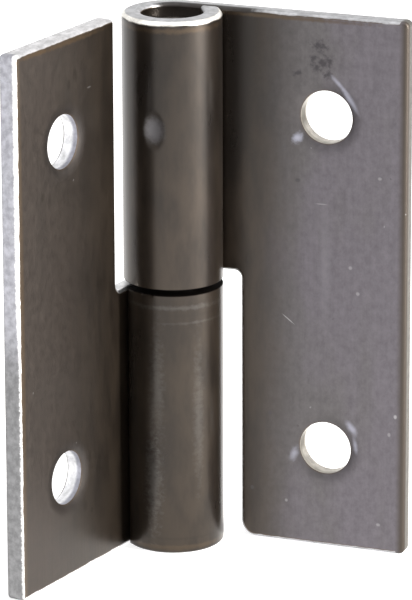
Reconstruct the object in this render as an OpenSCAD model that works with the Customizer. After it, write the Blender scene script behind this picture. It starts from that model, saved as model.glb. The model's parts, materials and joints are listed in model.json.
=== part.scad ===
// Slip joint hinge: two leaves of sheet steel, each with one rolled knuckle, and one pin.
// The lower leaf stands along -X with its flat back towards +Y, and its knuckle at the bottom.
// The upper leaf is much the same stamping turned upside down. The pin is staked in its knuckle,
// and slips down into the lower one, so the upper leaf swings on it and lifts off with it.
// The origin is on the pin axis, level with the lower ends of the leaves.

/* [Leaf] */
// Height of a leaf, end to end
leaf_h = 76.2; // [60:0.1:100]
// Width of a leaf, from the pin axis to its outer edge
leaf_w = 32.55; // [28.5:0.05:45]
// Thickness of the sheet
sheet_t = 2.65; // [2:0.05:3.2]
// Radius of the two corners at the outer edge
corner_r = 0.6; // [0.3:0.1:4]
// Radius of the outside edges, which the blanking die rolled over
outer_edge_r = 0.8; // [0.4:0.05:1]
// Radius of the inside edges, left by tumbling
inner_edge_r = 0.55; // [0.3:0.05:0.8]
// Angle between the two inner faces as the hinge stands
open_angle = 100; // [40:1:200]

/* [Knuckle] */
// Diameter of the pin
pin_d = 8.4; // [7:0.1:10]
// Radial clearance between the pin and the rolled bores
pin_clear = 0.05; // [0.02:0.01:0.1]
// Gap between the ends of the two knuckles
knuckle_gap = 0.7; // [0.3:0.05:1]
// Height by which the middle of that gap lies below the middle of the leaves
gap_drop = 0.15; // [0:0.05:0.3]
// Radius of the edges at that gap, which were faced after rolling
faced_edge_r = 0.2; // [0.1:0.05:0.5]
// Gap left between the end of the curl and the face of its own leaf
butt_gap = 0.12; // [0.08:0.01:0.3]
// Angle round the bore from the middle of its leaf side to where the end of the curl straightens
tip_angle = 60; // [50:1:70]
// Angle by which that straight stretch leans out of the tangent
tip_lean = 3; // [1:0.5:5]

/* [Notch beside the other knuckle] */
// Clearance from the outside of the other knuckle to the cut edge, on the lower leaf
lower_notch_clear = 1.1; // [0.8:0.05:3]
// The same clearance on the upper leaf
upper_notch_clear = 1.45; // [0.8:0.05:3]
// Gap between the two notched ends of the leaves
notch_gap = 1.3; // [0.8:0.1:3]
// Radius of the lower leaf's free corner at the notch
lower_corner_r = 0.5; // [0.3:0.1:3]
// Radius of the upper leaf's free corner at the notch
upper_corner_r = 2.2; // [1:0.1:3]
// Radius of the fillet in the lower leaf's notch
lower_fillet_r = 1.3; // [0.5:0.1:2]
// Radius of the fillet in the upper leaf's notch
upper_fillet_r = 1; // [0.5:0.1:2]

/* [Screw holes] */
// Diameter of a hole
hole_d = 7.5; // [5:0.1:9]
// Distance from the pin axis to the holes
hole_from_axis = 20.8; // [18:0.1:23]
// Distance between the two holes of a leaf
hole_pitch = 47.6; // [40:0.1:50]
// Width of the rolled-over lip round a hole
lip_w = 1.8; // [0.8:0.1:2.2]
// Depth of the lip at the hole
lip_depth = 0.3; // [0.15:0.05:0.5]

/* [Pin and stake mark] */
// Depth of the pin's ends below the ends of the knuckles
pin_recess = 1.8; // [1:0.1:4]
// Chamfer on the ends of the pin
pin_chamfer = 0.5; // [0.2:0.1:1]
// Distance from the end of the upper knuckle to the stake mark
stake_from_end = 15.2; // [8:0.1:25]
// Radius of the nose that pressed the stake mark
stake_nose_r = 15; // [10:1:20]
// Depth of the stake mark
stake_depth = 0.25; // [0.15:0.05:0.4]

/* [Hidden] */
$fn = 96;
pin_r = pin_d / 2;
bore_r = pin_r + pin_clear;
knuckle_r = bore_r + sheet_t;
lower_knuckle_l = (leaf_h - knuckle_gap) / 2 - gap_drop;
upper_knuckle_l = (leaf_h - knuckle_gap) / 2 + gap_drop;
notch_z = (leaf_h - notch_gap) / 2;
hole_end = (leaf_h - hole_pitch) / 2;
pin_l = leaf_h - 2 * pin_recess;
// Cutting shapes reach this far past the faces that they cut
over = 1;
// Rounding arcs cross their faces by this share of the radius, and so stay sharp of a tangent
arc_lift = 0.05;
leaf_colour = [0.41, 0.39, 0.39];
upper_colour = [0.45, 0.43, 0.44];
pin_colour = [0.6, 0.58, 0.56];

// What is cut off a square corner to round it, seen along the edge. The corner is at the origin
// and the stock lies in its quarter of minus X and minus Y.
module corner_cut(r, lift = arc_lift) {
    difference() {
        translate([-r, -r]) square(r + over);
        translate([-r + lift * r, -r + lift * r]) circle(r);
    }
}

// The same cut along a straight edge of length l that runs up from the origin
module edge_cut(r, l) {
    translate([0, 0, -over]) linear_extrude(l + 2 * over) corner_cut(r);
}

// The same cut round the outside edge of a knuckle, and round the mouth of its bore, where the
// knuckle ends at the ground plane with its stock below
module ring_cuts(outside_r, mouth_r) {
    rotate_extrude() translate([knuckle_r, 0]) corner_cut(outside_r);
    rotate_extrude() translate([bore_r, 0]) mirror([1, 0]) corner_cut(mouth_r);
}

// Section of the curl: a ring that starts in line with the leaf and comes round to its inner
// face. The sheet straightens before its end, so the end stays about as wide as the sheet.
module curl_section() {
    start_r = bore_r - butt_gap;
    tip_x = -bore_r * tan(tip_angle / 2 + tip_lean);
    difference() {
        circle(knuckle_r);
        circle(bore_r);
        translate([-knuckle_r - over, bore_r - butt_gap])
            square([knuckle_r + over, sheet_t + butt_gap + over]);
        polygon([
            [0, 0],
            [-start_r * sin(tip_angle), start_r * cos(tip_angle)],
            [tip_x, bore_r],
            [0, bore_r]
        ]);
    }
}

// One knuckle of length l, standing on the ground plane, with rounded edges at both ends
module curl(l) {
    difference() {
        linear_extrude(l) curl_section();
        translate([0, 0, l]) ring_cuts(faced_edge_r, faced_edge_r);
        mirror([0, 0, 1]) ring_cuts(outer_edge_r, inner_edge_r);
    }
}

// Outline of the flat of a leaf, X across and Y up its height. The notch is cut at notch_x, with
// a fillet of radius fillet_r, and leaves a free corner of radius free_r.
module leaf_outline(notch_x, free_r, fillet_r) {
    difference() {
        union() {
            translate([-leaf_w, 0]) square([leaf_w, notch_z]);
            translate([-leaf_w, 0]) square([leaf_w - notch_x, leaf_h]);
            // Fillet in the notch
            translate([-notch_x, notch_z]) difference() {
                square(fillet_r);
                translate([fillet_r, fillet_r]) circle(fillet_r);
            }
        }
        translate([-notch_x, leaf_h]) corner_cut(free_r, 0);
        translate([-leaf_w, leaf_h]) mirror([1, 0]) corner_cut(corner_r, 0);
        translate([-leaf_w, 0]) rotate(180) corner_cut(corner_r, 0);
    }
}

// One screw hole through the leaf with its rolled-over lip on the inner face, its mouth at the
// origin and its length towards +Z
module screw_hole() {
    lip_r = hole_d / 2 + lip_w;
    // Radius of the arc that drops by lip_depth over the width of the lip
    arc_r = (lip_w * lip_w + lip_depth * lip_depth) / (2 * lip_depth);
    translate([0, 0, -over]) cylinder(d = hole_d, h = sheet_t + 2 * over);
    rotate_extrude() difference() {
        translate([0, -over]) square([lip_r, lip_depth + over]);
        translate([lip_r, arc_r - arc_lift * lip_depth]) circle(arc_r);
    }
}

// The cuts that round the edges of one end of the leaf, which lies level with the ground plane
// and has its stock below
module end_cuts() {
    translate([-leaf_w, knuckle_r, 0]) rotate([90, 0, 90]) edge_cut(outer_edge_r, leaf_w);
    translate([-leaf_w, bore_r, 0]) mirror([0, 1, 0]) rotate([90, 0, 90])
        edge_cut(inner_edge_r, leaf_w);
}

// The flat of a leaf with its two holes, and its edges rounded at both ends and along the side
module flat(notch_x, free_r, fillet_r) {
    difference() {
        translate([0, knuckle_r, 0]) rotate([90, 0, 0]) linear_extrude(sheet_t)
            leaf_outline(notch_x, free_r, fillet_r);
        for (z = [hole_end, hole_end + hole_pitch])
            translate([-hole_from_axis, bore_r, z]) rotate([-90, 0, 0]) screw_hole();
        translate([-leaf_w, knuckle_r, 0]) mirror([1, 0, 0]) edge_cut(outer_edge_r, leaf_h);
        translate([-leaf_w, bore_r, 0]) rotate(180) edge_cut(inner_edge_r, leaf_h);
        translate([0, 0, leaf_h]) end_cuts();
        mirror([0, 0, 1]) end_cuts();
    }
}

// A whole leaf, with its knuckle at the bottom
module leaf(knuckle_l, clear, free_r, fillet_r) {
    union() {
        curl(knuckle_l);
        flat(knuckle_r + clear, free_r, fillet_r);
    }
}

module lower_leaf() {
    color(leaf_colour)
        leaf(lower_knuckle_l, lower_notch_clear, lower_corner_r, lower_fillet_r);
}

module upper_leaf() {
    color(upper_colour) rotate(180 + open_angle) translate([0, 0, leaf_h]) rotate([0, 180, 0])
        difference() {
            leaf(upper_knuckle_l, upper_notch_clear, upper_corner_r, upper_fillet_r);
            translate([0, -knuckle_r - stake_nose_r + stake_depth, stake_from_end])
                sphere(stake_nose_r);
        }
}

module pin() {
    color(pin_colour) translate([0, 0, pin_recess]) rotate_extrude() polygon([
        [0, 0],
        [pin_r - pin_chamfer, 0],
        [pin_r, pin_chamfer],
        [pin_r, pin_l - pin_chamfer],
        [pin_r - pin_chamfer, pin_l],
        [0, pin_l]
    ]);
}

lower_leaf();
upper_leaf();
pin();
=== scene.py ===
import json
import math

import bmesh
import bpy
from mathutils import Matrix, Vector


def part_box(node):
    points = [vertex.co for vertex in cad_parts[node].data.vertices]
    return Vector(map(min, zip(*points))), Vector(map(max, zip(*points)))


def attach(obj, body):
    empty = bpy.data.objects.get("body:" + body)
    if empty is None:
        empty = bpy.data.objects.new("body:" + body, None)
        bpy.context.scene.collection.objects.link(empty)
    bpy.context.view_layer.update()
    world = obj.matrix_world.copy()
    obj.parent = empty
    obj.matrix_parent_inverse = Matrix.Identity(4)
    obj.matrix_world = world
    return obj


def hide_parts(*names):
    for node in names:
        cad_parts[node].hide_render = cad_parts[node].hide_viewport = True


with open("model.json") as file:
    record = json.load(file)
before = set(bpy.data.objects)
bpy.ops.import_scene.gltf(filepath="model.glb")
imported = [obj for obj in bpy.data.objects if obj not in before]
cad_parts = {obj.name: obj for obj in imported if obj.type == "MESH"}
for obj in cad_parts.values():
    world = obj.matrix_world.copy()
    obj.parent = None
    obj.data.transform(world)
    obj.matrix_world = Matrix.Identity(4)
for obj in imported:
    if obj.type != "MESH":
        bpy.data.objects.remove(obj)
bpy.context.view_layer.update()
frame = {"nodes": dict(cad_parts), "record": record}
print("frame loaded:", ", ".join(sorted(frame["nodes"])))

# Sizes are in millimetres, and come from the frame where it holds them
toMm = 1000
mm = 1 / toMm
lowerLow, lowerHigh = (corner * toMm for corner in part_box("lower_leaf"))
pinLow, pinHigh = (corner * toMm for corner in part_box("pin"))
mounts = {mount["name"]: mount for mount in frame["record"]["mounts"]}
lowerHoles = mounts["lower_leaf_holes"]

leafSizes = dict(
    width=-lowerLow.x,  # pin axis to outer edge
    height=lowerHigh.z,
    outside=lowerHigh.y,  # outside radius of the knuckle
    bore=pinHigh.x + 0.05,
    notchGap=1.3,
    innerRounding=0.55,
    buttGap=0.12,
    curlAngle=300,  # the sheet is rolled this far before it runs straight onto its own face
    curlSteps=150,
)
leafSizes["thickness"] = leafSizes["outside"] - leafSizes["bore"]
leafSizes["notchBottom"] = (leafSizes["height"] - leafSizes["notchGap"]) / 2

holeSizes = dict(
    radius=lowerHoles["dims"]["hole_r_mm"],
    across=-lowerHoles["pos_m"][0] * toMm,  # from the pin axis
    pitch=lowerHoles["dims"]["spacing_y_mm"],
    lipWidth=1.8,
    lipDepth=0.3,
    backBreak=0.12,
    steps=72,
)

# The two leaves differ a little in how they were cut
lowerCut = dict(
    knuckle=37.6,
    notchClear=1.1,
    notchFillet=1.3,
    freeCorner=0.7,
    facedRounding=0.12,
    cornerRadius=0.6,
    outerRounding=0.5,
    staked=False,
)
upperCut = dict(
    knuckle=37.9,
    notchClear=1.45,
    notchFillet=1.0,
    freeCorner=2.2,
    facedRounding=0.2,
    cornerRadius=0.85,
    outerRounding=0.8,
    staked=True,
)

dimpleSizes = dict(fromEnd=15.2, depth=0.3, halfLong=2.9, halfWide=1.7, cutSpacing=0.35)


def sheetPlace(point):
    # Where a point lies on the flat blank: across it, through its thickness from 0 to 1, and up it
    s = leafSizes
    middle = (s["bore"] + s["outside"]) / 2
    if point.x <= 0 and point.y > s["bore"] - s["buttGap"] / 2:
        return Vector((s["width"] + point.x, (point.y - s["bore"]) / s["thickness"], point.z))
    turned = math.atan2(point.x, point.y) % math.tau
    limit = math.radians(s["curlAngle"])
    if turned <= limit:
        depth = (math.hypot(point.x, point.y) - s["bore"]) / s["thickness"]
        return Vector((s["width"] + middle * turned, depth, point.z))
    outwards = Vector((math.sin(limit), math.cos(limit), 0))
    onwards = Vector((math.cos(limit), -math.sin(limit), 0))
    depth = (point.dot(outwards) - s["bore"]) / s["thickness"]
    return Vector((s["width"] + middle * limit + point.dot(onwards), depth, point.z))


def meshObject(name, bm):
    mesh = bpy.data.meshes.new(name)
    bm.to_mesh(mesh)
    bm.free()
    made = bpy.data.objects.new(name, mesh)
    bpy.context.scene.collection.objects.link(made)
    return made


def cutAway(target, cutter):
    carve = target.modifiers.new("carve", "BOOLEAN")
    carve.operation = "DIFFERENCE"
    carve.solver = "MANIFOLD"
    carve.object = cutter
    with bpy.context.temp_override(object=target, active_object=target):
        bpy.ops.object.modifier_apply(modifier=carve.name)
    bpy.data.objects.remove(cutter)
    target.data.materials.clear()


def rolledBlank():
    # An edge across the sheet is drawn along the flat, spun round the pin, run straight onto the
    # inner face, and the whole strip is then raised to the height of the leaf
    s = leafSizes
    bm = bmesh.new()
    ends = [bm.verts.new((-s["width"], y, 0)) for y in (s["bore"], s["outside"])]
    start = bm.edges.new(ends)
    grown = bmesh.ops.extrude_edge_only(bm, edges=[start])["geom"]
    verts = [g for g in grown if isinstance(g, bmesh.types.BMVert)]
    bmesh.ops.translate(bm, verts=verts, vec=(s["width"], 0, 0))
    front = [g for g in grown if isinstance(g, bmesh.types.BMEdge) and all(v in verts for v in g.verts)]
    spun = bmesh.ops.spin(
        bm, geom=verts + front, cent=(0, 0, 0), axis=(0, 0, 1), dvec=(0, 0, 0),
        angle=-math.radians(s["curlAngle"]), steps=s["curlSteps"], use_duplicate=False,
    )["geom_last"]
    front = [g for g in spun if isinstance(g, bmesh.types.BMEdge)]
    limit = math.radians(s["curlAngle"])
    grown = bmesh.ops.extrude_edge_only(bm, edges=front)["geom"]
    verts = [g for g in grown if isinstance(g, bmesh.types.BMVert)]
    onwards = Vector((math.cos(limit), -math.sin(limit), 0)) * s["thickness"] * 2
    bmesh.ops.translate(bm, verts=verts, vec=onwards)
    last = [f for f in bm.faces if any(v in verts for v in f.verts)]
    geom = set(last) | {e for f in last for e in f.edges} | {v for f in last for v in f.verts}
    bmesh.ops.bisect_plane(
        bm, geom=list(geom), plane_co=(0, s["bore"] - s["buttGap"], 0), plane_no=(0, 1, 0),
        clear_outer=True,
    )
    raised = bmesh.ops.extrude_face_region(bm, geom=bm.faces[:])["geom"]
    verts = [g for g in raised if isinstance(g, bmesh.types.BMVert)]
    bmesh.ops.translate(bm, verts=verts, vec=(0, 0, s["height"]))
    bmesh.ops.recalc_face_normals(bm, faces=bm.faces[:])
    return bm


def notchCutter(name, low, high, fillet):
    # A block with its lower edge on the leaf's side rounded
    bm = bmesh.new()
    bmesh.ops.create_cube(bm, size=1)
    bmesh.ops.scale(bm, verts=bm.verts, vec=high - low)
    bmesh.ops.translate(bm, verts=bm.verts, vec=(high + low) / 2)
    edges = [e for e in bm.edges if all(v.co.x < low.x + 0.01 and v.co.z < low.z + 0.01 for v in e.verts)]
    bmesh.ops.bevel(
        bm, geom=edges, offset=fillet, offset_type="OFFSET", segments=8, profile=0.5,
        affect="EDGES", material=-1,
    )
    return meshObject(name, bm)


def holeCutter(name, height):
    # A lathe profile: the lip on the inner face, the wall, and a broken edge on the back
    s, h = leafSizes, holeSizes
    over = 1
    lipRadius = h["radius"] + h["lipWidth"]
    arcRadius = (h["lipWidth"] ** 2 + h["lipDepth"] ** 2) / (2 * h["lipDepth"])
    profile = [(0, -over), (lipRadius, -over)]
    arcSteps = 9
    for step in range(arcSteps + 1):
        out = lipRadius - h["lipWidth"] * step / arcSteps
        drop = arcRadius - math.sqrt(arcRadius ** 2 - (lipRadius - out) ** 2)
        profile.append((out, drop))
    profile += [
        (h["radius"], s["thickness"] - h["backBreak"]),
        (h["radius"] + h["backBreak"], s["thickness"]),
        (h["radius"] + h["backBreak"], s["thickness"] + over),
        (0, s["thickness"] + over),
    ]
    bm = bmesh.new()
    verts = [bm.verts.new((out, up, 0)) for out, up in profile]
    edges = [bm.edges.new(pair) for pair in zip(verts, verts[1:])]
    bmesh.ops.spin(
        bm, geom=verts + edges, cent=(0, 0, 0), axis=(0, 1, 0), dvec=(0, 0, 0),
        angle=math.tau, steps=h["steps"], use_merge=True, use_duplicate=False,
    )
    bmesh.ops.remove_doubles(bm, verts=bm.verts, dist=1e-4)
    bmesh.ops.recalc_face_normals(bm, faces=bm.faces)
    bmesh.ops.translate(bm, verts=bm.verts, vec=(-h["across"], s["bore"], height))
    return meshObject(name, bm)


def pressDimple(bm):
    # The stake mark: the wall of the knuckle is cut finely there and pushed in
    s, d = leafSizes, dimpleSizes
    cuts = int(2 * d["halfLong"] / d["cutSpacing"]) + 2
    for step in range(cuts + 1):
        height = d["fromEnd"] + d["halfLong"] * 1.1 * (2 * step / cuts - 1)
        near = [f for f in bm.faces if abs(f.normal.z) < 0.5 and f.calc_center_median().y < 0]
        geom = set(near) | {e for f in near for e in f.edges} | {v for f in near for v in f.verts}
        bmesh.ops.bisect_plane(bm, geom=list(geom), plane_co=(0, 0, height), plane_no=(0, 0, 1))
    for vert in bm.verts:
        along, depth, up = sheetPlace(vert.co)
        if depth < 0.5 or vert.co.y > 0:
            continue
        wide = vert.co.x / d["halfWide"]
        long = (up - d["fromEnd"]) / d["halfLong"]
        inside = 1 - wide ** 2 - long ** 2
        if inside > 0:
            vert.co.y += d["depth"] * inside ** 1.2


def roundEdges(bm, edges, radius, segments):
    bmesh.ops.bevel(
        bm, geom=edges, offset=radius, offset_type="OFFSET", segments=segments, profile=0.5,
        affect="EDGES", material=-1, clamp_overlap=False, loop_slide=True,
    )


def rimEdges(bm, cut, side):
    # Sharp edges round the blank on one side of the sheet, 0 for the inner and 1 for the outer,
    # apart from the faced end of the knuckle
    s = leafSizes
    picked = []
    for edge in bm.edges:
        if len(edge.link_faces) != 2 or edge.calc_face_angle(0) < 1:
            continue
        places = [sheetPlace(v.co) for v in edge.verts]
        if any(abs(p.y - side) > 0.01 for p in places):
            continue
        step = all(s["notchBottom"] - 0.01 < p.z < cut["knuckle"] + 0.01 and p.x > s["width"] - 0.01 for p in places)
        if not step:
            picked.append(edge)
    return picked


def facedEdges(bm, cut):
    s = leafSizes
    return [
        e for e in bm.edges
        if e.calc_face_angle(0) > 1 and all(abs(v.co.z - cut["knuckle"]) < 0.01 for v in e.verts)
        and all(v.co.x >= -0.01 or v.co.y < s["bore"] - s["buttGap"] / 2 for v in e.verts)
        and any(abs(sheetPlace(v.co).y - 0.5) > 0.45 for v in e.verts)
    ]


def leafPiece(name, cut):
    s, h = leafSizes, holeSizes
    blank = meshObject(name, rolledBlank())
    over = 5
    top = s["height"] + over
    notchX = -s["outside"] - cut["notchClear"]
    right = s["outside"] + over
    cutAway(blank, notchCutter(
        "upper_half", Vector((notchX, -right, cut["knuckle"])), Vector((right, right, top)), cut["notchFillet"],
    ))
    cutAway(blank, notchCutter(
        "notch", Vector((notchX, s["bore"] - s["buttGap"] / 2, s["notchBottom"])), Vector((0, right, top)),
        cut["notchFillet"],
    ))
    bm = bmesh.new()
    bm.from_mesh(blank.data)
    bmesh.ops.remove_doubles(bm, verts=bm.verts, dist=1e-4)
    bmesh.ops.dissolve_limit(bm, angle_limit=math.radians(0.5), verts=bm.verts, edges=bm.edges)

    def cornerEdge(x, z):
        return [
            e for e in bm.edges
            if all(abs(v.co.x - x) < 0.01 and abs(v.co.z - z) < 0.01 for v in e.verts)
        ]

    roundEdges(bm, cornerEdge(-s["width"], 0) + cornerEdge(-s["width"], s["height"]), cut["cornerRadius"], 8)
    roundEdges(bm, cornerEdge(notchX, s["height"]), cut["freeCorner"], 8)
    roundEdges(bm, facedEdges(bm, cut), cut["facedRounding"], 2)
    roundEdges(bm, rimEdges(bm, cut, 1), cut["outerRounding"], 6)
    roundEdges(bm, rimEdges(bm, cut, 0), s["innerRounding"], 5)
    if cut["staked"]:
        pressDimple(bm)
    bm.to_mesh(blank.data)
    bm.free()
    for height in ((s["height"] - h["pitch"]) / 2, (s["height"] + h["pitch"]) / 2):
        cutAway(blank, holeCutter("hole", height))
    return blank


def sheetPiece(name, cut, place, body):
    # Each point keeps its place on the flat blank, which the leaf materials read
    piece = leafPiece(name, cut)
    mesh = piece.data
    places = mesh.attributes.new("sheetPlace", "FLOAT_VECTOR", "POINT")
    for vert, stored in zip(mesh.vertices, places.data):
        stored.vector = sheetPlace(vert.co)
    mesh.transform(place @ Matrix.Scale(mm, 4))
    mesh.polygons.foreach_set("use_smooth", [True] * len(mesh.polygons))
    mesh.set_sharp_from_angle(angle=math.radians(35))
    even = piece.modifiers.new("even", "WEIGHTED_NORMAL")
    even.keep_sharp = True
    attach(piece, body)
    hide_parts(body)
    return piece


upperBack = Vector(mounts["upper_leaf_back"]["axis"])
openAngle = math.atan2(upperBack.x, -upperBack.y)
turnedOver = (
    Matrix.Rotation(math.pi + openAngle, 4, "Z")
    @ Matrix.Translation((0, 0, leafSizes["height"] * mm))
    @ Matrix.Rotation(math.pi, 4, "Y")
)
lowerLeaf = sheetPiece("lowerLeaf", lowerCut, Matrix.Identity(4), "lower_leaf")
upperLeaf = sheetPiece("upperLeaf", upperCut, turnedOver, "upper_leaf")
print("leaves rolled")


pinSizes = dict(
    radius=pinHigh.x,
    bottom=pinLow.z,
    top=pinHigh.z,
    chamfer=0.5,
    rounding=0.15,
    steps=96,
)


def pinPiece():
    p = pinSizes
    bm = bmesh.new()
    profile = [
        (0, p["bottom"]), (p["radius"] - p["chamfer"], p["bottom"]), (p["radius"], p["bottom"] + p["chamfer"]),
        (p["radius"], p["top"] - p["chamfer"]), (p["radius"] - p["chamfer"], p["top"]), (0, p["top"]),
    ]
    verts = [bm.verts.new((out, 0, up)) for out, up in profile]
    edges = [bm.edges.new(pair) for pair in zip(verts, verts[1:])]
    bmesh.ops.spin(
        bm, geom=verts + edges, cent=(0, 0, 0), axis=(0, 0, 1), dvec=(0, 0, 0),
        angle=math.tau, steps=p["steps"], use_merge=True, use_duplicate=False,
    )
    bmesh.ops.remove_doubles(bm, verts=bm.verts, dist=1e-4)
    bmesh.ops.recalc_face_normals(bm, faces=bm.faces)
    rims = [e for e in bm.edges if e.calc_face_angle(0) > 0.4]
    roundEdges(bm, rims, p["rounding"], 3)
    bmesh.ops.scale(bm, verts=bm.verts, vec=(mm, mm, mm))
    piece = meshObject("hingePin", bm)
    piece.data.polygons.foreach_set("use_smooth", [True] * len(piece.data.polygons))
    piece.data.set_sharp_from_angle(angle=math.radians(35))
    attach(piece, "pin")
    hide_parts("pin")
    return piece


hingePin = pinPiece()
print("pin turned")


# Materials

def addNode(tree, kind, inputs=None, **settings):
    made = tree.nodes.new(kind)
    for key, value in settings.items():
        setattr(made, key, value)
    for key, value in (inputs or {}).items():
        if isinstance(value, bpy.types.NodeSocket):
            tree.links.new(value, made.inputs[key])
        else:
            made.inputs[key].default_value = value
    return made


def sums(tree, operation, *values):
    return addNode(tree, "ShaderNodeMath", dict(enumerate(values)), operation=operation).outputs[0]


def fade(tree, value, low, high, start=0, end=1):
    # Goes smoothly from start to end while value goes from low to high
    return addNode(tree, "ShaderNodeMapRange", {
        "Value": value, "From Min": low, "From Max": high, "To Min": start, "To Max": end,
    }, interpolation_type="SMOOTHSTEP").outputs["Result"]


def stretched(tree, vector, scale):
    return addNode(tree, "ShaderNodeVectorMath", {0: vector, 1: scale}, operation="MULTIPLY").outputs[0]


def noise(tree, vector, detail=2, roughness=0.5):
    return addNode(tree, "ShaderNodeTexNoise", {
        "Vector": vector, "Scale": 1, "Detail": detail, "Roughness": roughness,
    }).outputs[0]


def mixColour(tree, factor, first, second):
    return addNode(tree, "ShaderNodeMix", {0: factor, 6: first, 7: second}, data_type="RGBA").outputs[2]


def mixValue(tree, factor, first, second):
    return addNode(tree, "ShaderNodeMix", {0: factor, 2: first, 3: second}, data_type="FLOAT").outputs[0]


def newGroup(name, inputs, outputs):
    group = bpy.data.node_groups.new(name, "ShaderNodeTree")
    for label, kind in inputs.items():
        group.interface.new_socket(label, in_out="INPUT", socket_type="NodeSocket" + kind)
    for label, kind in outputs.items():
        group.interface.new_socket(label, in_out="OUTPUT", socket_type="NodeSocket" + kind)
    given = group.nodes.new("NodeGroupInput").outputs
    result = group.nodes.new("NodeGroupOutput").inputs
    return group, given, result


def rolledGroup():
    # Mill surface: cloudy patches of two colours, fine streaks along the rolling, a mottle
    group, given, result = newGroup(
        "rolledSurface", {"Place": "Vector", "Colour": "Color", "Tint": "Color", "Contrast": "Float"},
        {"Colour": "Color", "Tone": "Float", "Height": "Float"},
    )
    place = given["Place"]
    cloud = noise(group, stretched(group, place, (0.11, 0.3, 0.045)), 3)
    streak = noise(group, stretched(group, place, (1.5, 1.5, 0.07)), 3)
    mottle = noise(group, stretched(group, place, (0.8, 1.5, 0.65)), 5, 0.7)
    across = addNode(group, "ShaderNodeSeparateXYZ", {0: place}).outputs["X"]
    shifted = sums(group, "ADD", cloud, fade(group, across, 5, 20, -0.14, 0.14))
    patched = mixColour(group, fade(group, shifted, 0.36, 0.64), given["Colour"], given["Tint"])
    tone = mixValue(group, 0.2, mottle, streak)
    shift = sums(group, "MULTIPLY", sums(group, "SUBTRACT", tone, 0.5), given["Contrast"])
    level = sums(group, "ADD", shift, 1)
    shaded = addNode(group, "ShaderNodeVectorMath", {0: patched, "Scale": level}, operation="SCALE").outputs[0]
    group.links.new(shaded, result["Colour"])
    group.links.new(tone, result["Tone"])
    group.links.new(mixValue(group, 0.6, mottle, streak), result["Height"])
    return group


def filmAndShadeGroup():
    # Brown oily layer, darkened further as painted shade and painted reflection towards the barrel and on it; it begins
    # at Start across the sheet and is whole at Full
    group, given, result = newGroup(
        "oilFilm", {"Place": "Vector", "Start": "Float", "Full": "Float", "Slope": "Float", "Ragged": "Float"},
        {"Mask": "Float", "Thickness": "Float"},
    )
    parts = addNode(group, "ShaderNodeSeparateXYZ", {0: given["Place"]}).outputs
    across = sums(group, "ADD", parts["X"], sums(group, "MULTIPLY", parts["Z"], given["Slope"]))
    wave = noise(group, stretched(group, given["Place"], (0.22, 0.3, 0.05)), 3)
    moved = sums(group, "MULTIPLY", sums(group, "SUBTRACT", wave, 0.5), given["Ragged"])
    begun = fade(group, sums(group, "ADD", across, moved), given["Start"], given["Full"])
    thick = noise(group, stretched(group, given["Place"], (0.33, 0.6, 0.09)), 4, 0.6)
    group.links.new(begun, result["Mask"])
    group.links.new(thick, result["Thickness"])
    return group


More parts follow.
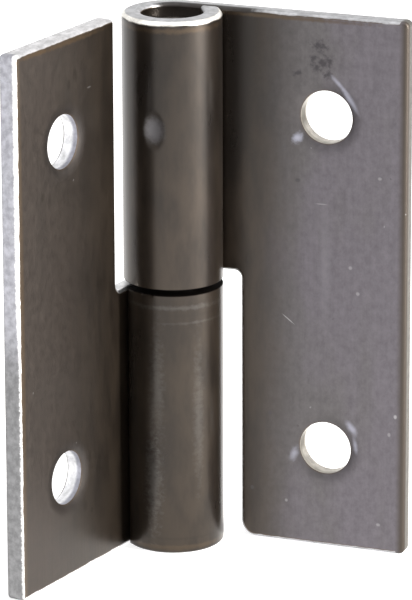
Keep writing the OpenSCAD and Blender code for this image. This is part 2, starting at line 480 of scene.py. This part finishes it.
def cutGroup():
    # Bare metal where the sheet was cut, told by the depth through it. The part that the blade
    # burnished lies next to the inner face; the rest broke away and is duller.
    group, given, result = newGroup(
        "cutEdge",
        {"Place": "Vector", "End Lip": "Float", "Other Lip": "Float", "Outer Lip": "Float",
         "Burnish Low": "Float", "Burnish High": "Float", "Knuckle End": "Float"},
        {"Mask": "Float", "Burnish": "Float", "Rim": "Float", "Tone": "Float", "End": "Float", "Hole": "Float",
         "Lip Ring": "Float", "Ledge": "Float", "Roll": "Float", "Gap": "Float"},
    )
    parts = addNode(group, "ShaderNodeSeparateXYZ", {0: given["Place"]})
    across, depth, up = parts.outputs["X"], parts.outputs["Y"], parts.outputs["Z"]
    ragged = noise(group, stretched(group, given["Place"], (0.5, 0.0, 0.5)), 4, 0.6)
    shifted = sums(group, "ADD", depth, fade(group, ragged, 0.2, 0.8, -0.012, 0.012))
    end = fade(group, across, 0.9, 1.3, 1, 0)
    lip = mixValue(group, end, given["Other Lip"], given["End Lip"])
    # Round the holes the rolled-over lip stays as the face is, and only the wall is bare
    holeAcross = sums(group, "SUBTRACT", across, leafSizes["width"] - holeSizes["across"])
    holeUp = sums(group, "SUBTRACT", up, leafSizes["height"] / 2)
    holeUp = sums(group, "SUBTRACT", sums(group, "ABSOLUTE", holeUp), holeSizes["pitch"] / 2)
    fromHole = addNode(group, "ShaderNodeCombineXYZ", {0: holeAcross, 1: holeUp}).outputs[0]
    fromHole = addNode(group, "ShaderNodeVectorMath", {0: fromHole}, operation="LENGTH").outputs["Value"]
    hole = fade(group, fromHole, 6, 7, 1, 0)
    lip = mixValue(group, hole, lip, 0.13)
    inner = fade(group, sums(group, "SUBTRACT", shifted, lip), 0, 0.015)
    outer = fade(group, sums(group, "SUBTRACT", shifted, given["Outer Lip"]), -0.015, 0.015, 1, 0)
    # On the knuckle only its free end is bare, not the stake mark or the gap between the knuckles
    aside = fade(group, up, 0.9, 1.3, 1, 0)
    aside = sums(group, "MAXIMUM", aside, fade(group, across, 31.5, 33, 1, 0))
    offFaces = sums(group, "MULTIPLY", fade(group, depth, 0.001, 0.008), fade(group, depth, 0.99, 0.998, 1, 0))
    outer = sums(group, "MULTIPLY", sums(group, "MULTIPLY", outer, aside), offFaces)
    mask = sums(group, "MULTIPLY", inner, outer)
    reach = mixValue(group, fade(group, up, 32, 44), given["Burnish Low"], given["Burnish High"])
    tooth = noise(group, stretched(group, given["Place"], (0.0, 0.0, 1.4)), 3, 0.7)
    reach = sums(group, "ADD", reach, fade(group, tooth, 0.2, 0.8, -0.06, 0.06))
    burnish = fade(group, sums(group, "SUBTRACT", depth, reach), -0.08, 0.04, 1, 0)
    smear = noise(group, stretched(group, given["Place"], (0.7, 2.4, 0.9)), 4, 0.65)
    rim = fade(group, sums(group, "SUBTRACT", shifted, lip), -0.05, 0)
    group.links.new(mask, result["Mask"])
    group.links.new(burnish, result["Burnish"])
    group.links.new(sums(group, "MULTIPLY", rim, outer), result["Rim"])
    group.links.new(smear, result["Tone"])
    group.links.new(end, result["End"])
    group.links.new(hole, result["Hole"])
    middle = sums(group, "ABSOLUTE", sums(group, "SUBTRACT", up, leafSizes["height"] / 2))
    group.links.new(fade(group, middle, 1.5, 2.5, 1, 0), result["Ledge"])
    group.links.new(fade(group, depth, 0.78, 0.86), result["Roll"])
    # Painted shade: the faced end of the knuckle at the gap, and a sliver of wall beside it, turn near black as the
    # shadow inside the gap
    aboveEnd = sums(group, "SUBTRACT", up, given["Knuckle End"])
    gap = sums(group, "MULTIPLY", fade(group, aboveEnd, -0.22, -0.05), fade(group, across, 32, 34))
    group.links.new(gap, result["Gap"])
    # Painted shade: a ring over the rolled lip round each hole, darkened as its slope would be shaded
    ring = fade(group, fromHole, 4, 5.9, 1, 0)
    group.links.new(sums(group, "MULTIPLY", ring, fade(group, depth, 0.15, 0.3, 1, 0)), result["Lip Ring"])
    return group


def speckGroup():
    # Scattered specks, on a share of the cells of a Voronoi pattern
    group, given, result = newGroup(
        "specks", {"Place": "Vector", "Spacing": "Float", "Radius": "Float", "Share": "Float"},
        {"Mask": "Float"},
    )
    warp = noise(group, stretched(group, given["Place"], (2.5, 2.5, 2.5)), 2)
    bent = addNode(group, "ShaderNodeVectorMath", {
        0: given["Place"], 1: stretched(group, warp, (0.5, 0.5, 0.5)),
    }, operation="ADD").outputs[0]
    cells = addNode(group, "ShaderNodeTexVoronoi", {
        "Vector": bent, "Scale": sums(group, "DIVIDE", 1, given["Spacing"]),
    })
    size = sums(group, "DIVIDE", given["Radius"], given["Spacing"])
    spot = fade(group, cells.outputs["Distance"], sums(group, "MULTIPLY", size, 0.4), size, 1, 0)
    pick = addNode(group, "ShaderNodeSeparateXYZ", {0: cells.outputs["Color"]}).outputs["X"]
    chosen = sums(group, "LESS_THAN", pick, given["Share"])
    group.links.new(sums(group, "MULTIPLY", spot, chosen), result["Mask"])
    return group


def markGroup():
    # One mark, placed on the inner side of the sheet (0) or the outer (1): a rub, smudge or scratch, a painted
    # highlight (glint) or painted shade (shade)
    group, given, result = newGroup(
        "placedMark",
        {"Place": "Vector", "Centre": "Vector", "Turn": "Float", "Half Size": "Vector", "Side": "Float",
         "Softness": "Float", "Broken": "Float"},
        {"Mask": "Float"},
    )
    away = addNode(group, "ShaderNodeVectorMath", {0: given["Place"], 1: given["Centre"]}, operation="SUBTRACT")
    turned = addNode(group, "ShaderNodeVectorRotate", {
        "Vector": away.outputs[0], "Angle": given["Turn"],
    }, rotation_type="Y_AXIS")
    flat = stretched(group, turned.outputs[0], (1, 0, 1))
    sized = addNode(group, "ShaderNodeVectorMath", {0: flat, 1: given["Half Size"]}, operation="DIVIDE")
    reach = addNode(group, "ShaderNodeVectorMath", {0: sized.outputs[0]}, operation="LENGTH").outputs["Value"]
    patchy = noise(group, stretched(group, given["Place"], (1.4, 0, 1.4)), 4, 0.65)
    broken = sums(group, "MULTIPLY", sums(group, "SUBTRACT", patchy, 0.5), given["Broken"])
    reach = sums(group, "ADD", reach, broken)
    inside = fade(group, reach, sums(group, "SUBTRACT", 1, given["Softness"]), 1, 1, 0)
    depth = addNode(group, "ShaderNodeSeparateXYZ", {0: given["Place"]}).outputs["Y"]
    side = fade(group, sums(group, "ABSOLUTE", sums(group, "SUBTRACT", depth, given["Side"])), 0.25, 0.4, 1, 0)
    group.links.new(sums(group, "MULTIPLY", inside, side), result["Mask"])
    return group


rolledSurface, oilFilm, cutEdge = rolledGroup(), filmAndShadeGroup(), cutGroup()
specks, placedMark = speckGroup(), markGroup()

# Marks: what, side, across, up, turn in degrees, half width, half height, softness, broken, strength
lowerLook = dict(
    face=(0.054, 0.044, 0.0375), tint=(0.047, 0.0395, 0.034), contrast=1.0,
    film=(0.034, 0.0246, 0.0165), filmDark=(0.0195, 0.0140, 0.0097),
    filmStart=2, filmFull=30, filmSlope=0, filmRagged=5, filmNear=1.1, filmFar=1.1, lipDark=0.35,
    endTint=(0.11, 0.083, 0.06),
    cut=(0.70, 0.69, 0.70), cutRoll=(0.60, 0.59, 0.60), ledge=(0.95, 0.95, 0.95),
    endCut=(0.41, 0.41, 0.45), endLow=(0.23, 0.23, 0.235), holeCut=(0.82, 0.82, 0.84),
    holeNear=(0.36, 0.36, 0.41),
    endLip=0.0, otherLip=0.006, outerLip=0.93, burnishLow=0.08, burnishHigh=0.2,
    marks=[
        ("fringe", 0, 4.5, 75.5, 0, 4.5, 0.45, 0.7, 1.2, 0.7),
        ("fringe", 0, 13, 75.4, 0, 12, 0.5, 0.8, 1.4, 0.75),
        ("fringe", 0, 0.9, 38, 0, 0.7, 42, 0.7, 0.6, 0.4),
        ("dark", 0.5, 31.6, 37.4, 0, 0.9, 0.6, 0.5, 0.6, 0.95),
        ("dark", 0, 14.6, 70.5, 20, 0.7, 1.3, 0.6, 0.9, 0.5),
        ("dark", 0, 13.0, 69.6, 0, 0.5, 0.9, 0.6, 0.9, 0.5),
        ("dark", 0, 6.3, 55.5, 0, 0.5, 0.8, 0.6, 0.9, 0.4),
        ("dark", 0, 16, 9, 0, 0.8, 1.0, 0.6, 0.9, 0.45),
        ("dark", 0, 17.6, 7.9, 0, 0.5, 0.5, 0.6, 0.9, 0.5),
        ("light", 0, 18, 68.1, 0, 0.6, 0.15, 0.5, 0.5, 0.2),
        # Painted shade: a dark band down the crease where this face meets the upper knuckle, and its top end
        ("dark", 0, 24.5, 56, 0, 1.2, 22, 1.0, 0.8, 0.25),
        ("dark", 0, 23.6, 75.2, 0, 1.1, 1.0, 0.8, 0.6, 0.6),
        ("dark", 1, 59, 2.4, 0, 0.5, 0.5, 0.5, 0.5, 0.8),
        ("dark", 1, 58.3, 7.4, 0, 0.4, 0.5, 0.5, 0.5, 0.8),
        ("rubbed", 1, 55, 35.8, 0, 13, 0.5, 1.0, 2.0, 0.2),
        ("rubbed", 1, 52, 33.6, 0, 8, 0.3, 1.0, 2.0, 0.14),
        ("dark", 1, 55, 34.7, 0, 13, 0.4, 0.8, 1.5, 0.25),
        ("dark", 1, 55, 2.2, 0, 13, 0.3, 0.8, 1.5, 0.3),
        ("fringe", 1, 55, 0.9, 0, 13, 0.5, 0.8, 1.2, 0.35),
        # Partly rubbing and partly painted sheen: the three upright light streaks on the barrel follow where it catches
        # the light
        ("rubbed", 1, 58.2, 10, 0, 1.4, 9, 1.0, 2.0, 0.32),
        ("rubbed", 1, 57.8, 24, 0, 1.2, 11, 1.0, 2.0, 0.2),
        ("rubbed", 1, 52.9, 20, 0, 0.9, 14, 1.0, 1.8, 0.2),
    ],
)
upperLook = dict(
    face=(0.137, 0.125, 0.140), tint=(0.122, 0.114, 0.117), contrast=1.3,
    film=(0.0315, 0.0230, 0.0163), filmDark=(0.0175, 0.0127, 0.0092),
    filmStart=13, filmFull=22.3, filmSlope=-0.02, filmRagged=2, filmNear=0.85, filmFar=1.35, lipDark=0.3,
    endTint=(0.060, 0.048, 0.036),
    cut=(0.44, 0.44, 0.455), cutRoll=(0.95, 0.92, 0.86), ledge=(0.5, 0.5, 0.5),
    endCut=(0.14, 0.13, 0.115), endLow=(0.14, 0.13, 0.115), holeCut=(0.62, 0.58, 0.52),
    holeNear=(0.42, 0.39, 0.34),
    endLip=0.26, otherLip=0.006, outerLip=0.985, burnishLow=-0.2, burnishHigh=-0.2,
    marks=[
        # Partly a dark oily stain and partly painted shade: the top of the sheet next to the barrel, and the barrel,
        # darkened
        ("film", 0, 29.5, 3, 0, 9.2, 30, 0.3, 0.3, 0.95),
        ("fringe", 0, 17, 0.75, 0, 17, 0.4, 0.8, 1.2, 0.6),
        ("fringe", 1, 52, 1.3, 0, 14, 0.6, 0.9, 1.6, 0.45),
        # Painted highlights: lamp glints on the rolled lip round the top hole, and painted shade on its wall
        ("glint", 0, 8.35, 11.5, -56, 2.9, 0.62, 0.95, 0.5, 0.62),
        ("glint", 0, 10.0, 9.3, -45, 2.2, 0.45, 0.95, 0.5, 0.4),
        ("glint", 0, 15.9, 17.5, -35, 1.0, 1.3, 1.0, 1.2, 0.6),
        ("shade", 0.5, 15.5, 14.3, 0, 1.1, 2.2, 0.8, 0.2, 0.85),
        # Painted highlights and painted shade the same way round the bottom hole
        ("glint", 0, 7.8, 58.5, -50, 1.7, 0.8, 1.0, 0.6, 0.5),
        ("glint", 0, 7.25, 61.0, -80, 1.8, 0.5, 1.0, 0.6, 0.4),
        ("glint", 0, 16.3, 63.2, -20, 0.8, 1.6, 1.0, 0.8, 0.35),
        ("shade", 0.5, 15.5, 61.6, 0, 1.1, 2.2, 0.8, 0.2, 0.85),
        ("smudge", 0, 11.9, 6.6, 20, 1.7, 1.2, 0.9, 2.6, 0.9),
        ("smudge", 0, 13.2, 7.4, 0, 0.9, 0.8, 0.9, 2.6, 0.9),
        ("smudge", 0, 11.6, 8.2, 0, 0.9, 0.8, 0.9, 2.6, 0.9),
        ("smudge", 0, 16, 8.4, 30, 1.0, 0.6, 0.9, 2.6, 0.9),
        ("smudge", 0, 13.6, 6.1, 0, 0.7, 0.7, 0.9, 2.6, 0.9),
        ("smudge", 0, 12.6, 4.3, 0, 1.6, 1.2, 0.9, 2.6, 0.9),
        ("light", 0, 12.3, 26.6, 0, 1.1, 0.12, 0.6, 0.3, 0.28),
        ("light", 0, 8.1, 35.3, 0, 0.35, 0.35, 0.6, 0.5, 0.28),
        ("light", 0, 7, 38.9, 0, 0.35, 0.35, 0.6, 0.5, 0.28),
        ("light", 0, 3.9, 22.2, 0, 0.4, 0.3, 0.6, 0.5, 0.28),
        ("light", 0, 3.8, 72.2, 0, 0.4, 0.3, 0.6, 0.5, 0.28),
        ("light", 0, 2.3, 58.8, 0, 0.3, 0.4, 0.6, 0.5, 0.28),
        ("light", 0, 1.4, 56.1, 0, 0.3, 0.4, 0.6, 0.5, 0.5),
        ("light", 0, 17.4, 70.2, 0, 0.3, 0.3, 0.6, 0.5, 0.28),
        ("light", 0, 17.15, 43.6, -37, 1.4, 0.1, 0.6, 0.3, 0.5),
        ("smudge", 0, 15.8, 23.5, 0, 0.5, 0.4, 0.6, 0.9, 0.6),
        ("smudge", 0, 19.8, 57.6, 0, 0.4, 0.5, 0.6, 0.9, 0.6),
        ("smudge", 0, 22.5, 68.9, 0, 0.4, 0.4, 0.6, 0.9, 0.6),
        ("lighter", 0, 11.8, 35, 0, 1.1, 13, 1.0, 0.8, 0.22),
        ("dimple", 1, 50.0, 15.2, 0, 1.6, 2.4, 0.7, 0.6, 0.9),
    ],
)
markColours = dict(
    smudge=(0.055, 0.05, 0.055),
    dark=(0.02, 0.015, 0.01),
    film=(0.0165, 0.0122, 0.0093),
    light=(0.5, 0.49, 0.5),
    lighter=(0.26, 0.25, 0.27),
    rubbed=(0.16, 0.155, 0.148),
    dimple=(0.125, 0.12, 0.128),
    # glint is the colour of the painted highlights, shade that of the painted shade
    glint=(0.52, 0.53, 0.64),
    shade=(0.10, 0.085, 0.06),
    fringe=(0.09, 0.058, 0.03),
)


def leafMaterial(name, look, knuckleEnd):
    material = bpy.data.materials.new(name)
    material.use_nodes = True
    tree = material.node_tree
    shader = tree.nodes["Principled BSDF"]
    place = addNode(tree, "ShaderNodeAttribute", attribute_name="sheetPlace").outputs["Vector"]
    even = stretched(tree, place, (1, leafSizes["thickness"], 1))  # all in mm
    rolled = addNode(tree, "ShaderNodeGroup", {
        "Place": even, "Colour": (*look["face"], 1), "Tint": (*look["tint"], 1), "Contrast": look["contrast"],
    }, node_tree=rolledSurface)
    film = addNode(tree, "ShaderNodeGroup", {
        "Place": even, "Start": look["filmStart"], "Full": look["filmFull"], "Slope": look["filmSlope"],
        "Ragged": look["filmRagged"],
    }, node_tree=oilFilm)
    cut = addNode(tree, "ShaderNodeGroup", {
        "Place": place, "End Lip": look["endLip"], "Other Lip": look["otherLip"], "Outer Lip": look["outerLip"],
        "Burnish Low": look["burnishLow"], "Burnish High": look["burnishHigh"], "Knuckle End": knuckleEnd,
    }, node_tree=cutEdge)
    parts = addNode(tree, "ShaderNodeSeparateXYZ", {0: place}).outputs
    across, depth, up = parts["X"], parts["Y"], parts["Z"]

    colour = rolled.outputs["Colour"]
    colour = mixColour(tree, fade(tree, across, 0.3, 1.5, 0.9, 0), colour, (*look["endTint"], 1))
    # The oily layer's colour, which also carries painted shade towards the barrel and on it
    oilAndShade = mixColour(tree, fade(tree, film.outputs["Thickness"], 0.35, 0.65), (*look["film"], 1), (*look["filmDark"], 1))
    # Painted shade: the oily layer darker towards up 6, at the top end of the upper leaf beside the top of its barrel,
    # and lighter by up 34
    shade = fade(tree, up, 6, 34, look["filmNear"], look["filmFar"])
    oilAndShade = addNode(tree, "ShaderNodeVectorMath", {0: oilAndShade, "Scale": shade}, operation="SCALE").outputs[0]
    colour = mixColour(tree, film.outputs["Mask"], colour, oilAndShade)
    # Painted shade on the rolled lip round each hole
    ring = sums(tree, "MULTIPLY", cut.outputs["Lip Ring"], look["lipDark"])
    colour = mixColour(tree, ring, colour, (0.05, 0.045, 0.045, 1))
    for dark, spacing, radius, share in ((True, 2.6, 0.22, 0.16), (False, 3.4, 0.17, 0.22)):
        spots = addNode(tree, "ShaderNodeGroup", {
            "Place": even, "Spacing": spacing, "Radius": radius, "Share": share,
        }, node_tree=specks).outputs["Mask"]
        strength = sums(tree, "MULTIPLY", spots, 0.35)
        colour = mixColour(tree, strength, colour, (0.03, 0.025, 0.025, 1) if dark else (0.45, 0.44, 0.45, 1))
    brownRim = sums(tree, "MULTIPLY", cut.outputs["Rim"], 0.6)
    colour = mixColour(tree, brownRim, colour, (0.10, 0.065, 0.035, 1))
    rough = mixColour(tree, fade(tree, up, 30, 42), (*look["endLow"], 1), (*look["endCut"], 1))
    atEnd = mixColour(tree, cut.outputs["Burnish"], rough, (0.95, 0.95, 0.95, 1))
    bare = mixColour(tree, cut.outputs["Roll"], (*look["cut"], 1), (*look["cutRoll"], 1))
    bare = mixColour(tree, cut.outputs["Ledge"], bare, (*look["ledge"], 1))
    bare = mixColour(tree, cut.outputs["End"], bare, atEnd)
    wall = mixColour(tree, fade(tree, depth, 0.3, 0.5), (*look["holeNear"], 1), (*look["holeCut"], 1))
    bare = mixColour(tree, cut.outputs["Hole"], bare, wall)
    level = fade(tree, cut.outputs["Tone"], 0.3, 0.7, 0.72, 1.15)
    bare = addNode(tree, "ShaderNodeVectorMath", {0: bare, "Scale": level}, operation="SCALE").outputs[0]
    colour = mixColour(tree, cut.outputs["Mask"], colour, bare)
    for what, side, markAcross, markUp, turn, halfWidth, halfHeight, softness, broken, strength in look["marks"]:
        spot = addNode(tree, "ShaderNodeGroup", {
            "Place": place, "Centre": (markAcross, 0, markUp), "Turn": math.radians(turn),
            "Half Size": (halfWidth, 1, halfHeight), "Side": side, "Softness": softness, "Broken": broken,
        }, node_tree=placedMark).outputs["Mask"]
        colour = mixColour(tree, sums(tree, "MULTIPLY", spot, strength), colour, (*markColours[what], 1))
    # Painted shade: near black in the gap between the knuckles
    gapShade = sums(tree, "MULTIPLY", cut.outputs["Gap"], 0.94)
    colour = mixColour(tree, gapShade, colour, (0.004, 0.003, 0.003, 1))
    tree.links.new(colour, shader.inputs["Base Color"])

    metal = mixValue(tree, cut.outputs["Mask"], mixValue(tree, film.outputs["Mask"], 0.75, 0.68), 0.9)
    metal = mixValue(tree, cut.outputs["Gap"], metal, 1)
    tree.links.new(metal, shader.inputs["Metallic"])
    rough = fade(tree, rolled.outputs["Tone"], 0.3, 0.7, 0.38, 0.48)
    oily = fade(tree, film.outputs["Thickness"], 0.3, 0.7, 0.35, 0.27)
    rough = mixValue(tree, film.outputs["Mask"], rough, oily)
    cutRough = mixValue(tree, cut.outputs["Burnish"], 0.42, 0.28)
    rough = mixValue(tree, cut.outputs["Mask"], rough, cutRough)
    rough = mixValue(tree, cut.outputs["Gap"], rough, 0.8)
    tree.links.new(rough, shader.inputs["Roughness"])

    wet = sums(tree, "MULTIPLY", film.outputs["Mask"], sums(tree, "SUBTRACT", 1, cut.outputs["Gap"]))
    tree.links.new(sums(tree, "MULTIPLY", wet, 0.32), shader.inputs["Coat Weight"])
    shader.inputs["Coat Roughness"].default_value = 0.24

    height = mixValue(tree, cut.outputs["Mask"], rolled.outputs["Height"], cut.outputs["Tone"])
    bump = addNode(tree, "ShaderNodeBump", {"Strength": 0.35, "Distance": 0.00006, "Height": height})
    tree.links.new(bump.outputs["Normal"], shader.inputs["Normal"])
    return material


lowerLeaf.data.materials.append(leafMaterial("lowerLeafSteel", lowerLook, lowerCut["knuckle"]))
upperLeaf.data.materials.append(leafMaterial("upperLeafSteel", upperLook, upperCut["knuckle"]))


def pinMaterial():
    material = bpy.data.materials.new("pinSteel")
    material.use_nodes = True
    tree = material.node_tree
    shader = tree.nodes["Principled BSDF"]
    place = addNode(tree, "ShaderNodeTexCoord").outputs["Object"]
    inMm = stretched(tree, place, (toMm, toMm, toMm))
    drawn = addNode(tree, "ShaderNodeGroup", {
        "Place": inMm, "Colour": (0.34, 0.32, 0.30, 1), "Tint": (0.24, 0.22, 0.20, 1), "Contrast": 0.6,
    }, node_tree=rolledSurface)
    tree.links.new(drawn.outputs["Colour"], shader.inputs["Base Color"])
    shader.inputs["Metallic"].default_value = 0.9
    tree.links.new(fade(tree, drawn.outputs["Tone"], 0.3, 0.7, 0.28, 0.4), shader.inputs["Roughness"])
    bump = addNode(tree, "ShaderNodeBump", {
        "Strength": 0.3, "Distance": 0.00005, "Height": drawn.outputs["Height"],
    })
    tree.links.new(bump.outputs["Normal"], shader.inputs["Normal"])
    return material


hingePin.data.materials.append(pinMaterial())
print("materials made")


# Camera, floor, world and lamps

cameraFit = dict(
    azimuth=-58.945,
    elevation=17.04,
    roll=-0.2014,
    lookAt=(2.325, -3.862, 34.913),
    distance=662.9,
    lens=286.73,
    sensorWidth=36,
)


def compass(turn):
    # Level direction from the hinge, in degrees to the right of the camera
    angle = math.radians(cameraFit["azimuth"] + turn)
    return Vector((math.sin(angle), -math.cos(angle), 0))


def addCamera():
    fit = cameraFit
    rise = math.radians(fit["elevation"])
    back = compass(0) * math.cos(rise) + Vector((0, 0, math.sin(rise)))
    right = Vector((0, 0, 1)).cross(back).normalized()
    up = back.cross(right)
    turn = Matrix((right, up, back)).transposed() @ Matrix.Rotation(math.radians(fit["roll"]), 3, "Z")
    data = bpy.data.cameras.new("camera")
    data.sensor_width = fit["sensorWidth"]
    data.lens = fit["lens"]
    camera = bpy.data.objects.new("camera", data)
    spot = (Vector(fit["lookAt"]) + back * fit["distance"]) * mm
    camera.matrix_world = Matrix.Translation(spot) @ turn.to_4x4()
    bpy.context.scene.collection.objects.link(camera)
    bpy.context.scene.camera = camera


addCamera()


def seenRays(tree):
    # 1 for rays that the camera, a gloss or a clear material sends out
    path = addNode(tree, "ShaderNodeLightPath").outputs
    either = sums(tree, "MAXIMUM", path["Is Camera Ray"], path["Is Glossy Ray"])
    return sums(tree, "MAXIMUM", either, path["Is Transmission Ray"])


stageLight = dict(worldDiffuse=0.45, floorColour=0.8, floorGlow=0.72)


def addWorld():
    world = bpy.data.worlds.new("studio")
    world.use_nodes = True
    tree = world.node_tree
    plain = tree.nodes["Background"]
    plain.inputs["Color"].default_value = (1, 1, 1, 1)
    plain.inputs["Strength"].default_value = stageLight["worldDiffuse"]
    white = addNode(tree, "ShaderNodeBackground", {"Color": (1, 1, 1, 1), "Strength": 1})
    mixed = addNode(tree, "ShaderNodeMixShader", {0: seenRays(tree), 1: plain.outputs[0], 2: white.outputs[0]})
    tree.links.new(mixed.outputs[0], tree.nodes["World Output"].inputs["Surface"])
    bpy.context.scene.world = world


def addFloor():
    bm = bmesh.new()
    bmesh.ops.create_grid(bm, x_segments=1, y_segments=1, size=6)
    floor = meshObject("floor", bm)
    material = bpy.data.materials.new("paleFloor")
    material.use_nodes = True
    tree = material.node_tree
    shader = tree.nodes["Principled BSDF"]
    level = stageLight["floorColour"]
    shader.inputs["Base Color"].default_value = (level, level, level, 1)
    shader.inputs["Roughness"].default_value = 0.9
    shader.inputs["Specular IOR Level"].default_value = 0
    glow = addNode(tree, "ShaderNodeEmission", {"Color": (1, 1, 1, 1)})
    tree.links.new(sums(tree, "MULTIPLY", seenRays(tree), stageLight["floorGlow"]), glow.inputs["Strength"])
    total = addNode(tree, "ShaderNodeAddShader", {0: shader.outputs[0], 1: glow.outputs[0]})
    tree.links.new(total.outputs[0], tree.nodes["Material Output"].inputs["Surface"])
    floor.data.materials.append(material)


# Softboxes, placed in degrees to the right of the camera, metres from the pin and metres up
lampSizes = dict(
    right=dict(turn=65, distance=0.5, up=0.25, width=0.06, height=0.5, watts=7, colour=(1, 0.97, 0.93)),
    overhead=dict(turn=0, distance=0.15, up=1.0, width=0.8, height=0.8, watts=2.2, colour=(1, 1, 1)),
    left=dict(turn=-62, distance=0.9, up=0.35, width=0.35, height=0.7, watts=0.7, colour=(1, 1, 1)),
)


def addLamps():
    aim = Vector(cameraFit["lookAt"]) * mm
    for name, lamp in lampSizes.items():
        data = bpy.data.lights.new(name, "AREA")
        data.shape = "RECTANGLE"
        data.size = lamp["width"]
        data.size_y = lamp["height"]
        data.energy = lamp["watts"]
        data.color = lamp["colour"]
        spot = compass(lamp["turn"]) * lamp["distance"] + Vector((0, 0, lamp["up"]))
        turn = (spot - aim).to_track_quat("Z", "Y").to_matrix().to_4x4()
        made = bpy.data.objects.new(name, data)
        made.matrix_world = Matrix.Translation(spot) @ turn
        made.visible_camera = False
        bpy.context.scene.collection.objects.link(made)


addWorld()
addFloor()
addLamps()
bpy.context.scene.view_settings.view_transform = "Standard"
print("camera, floor and lamps set")
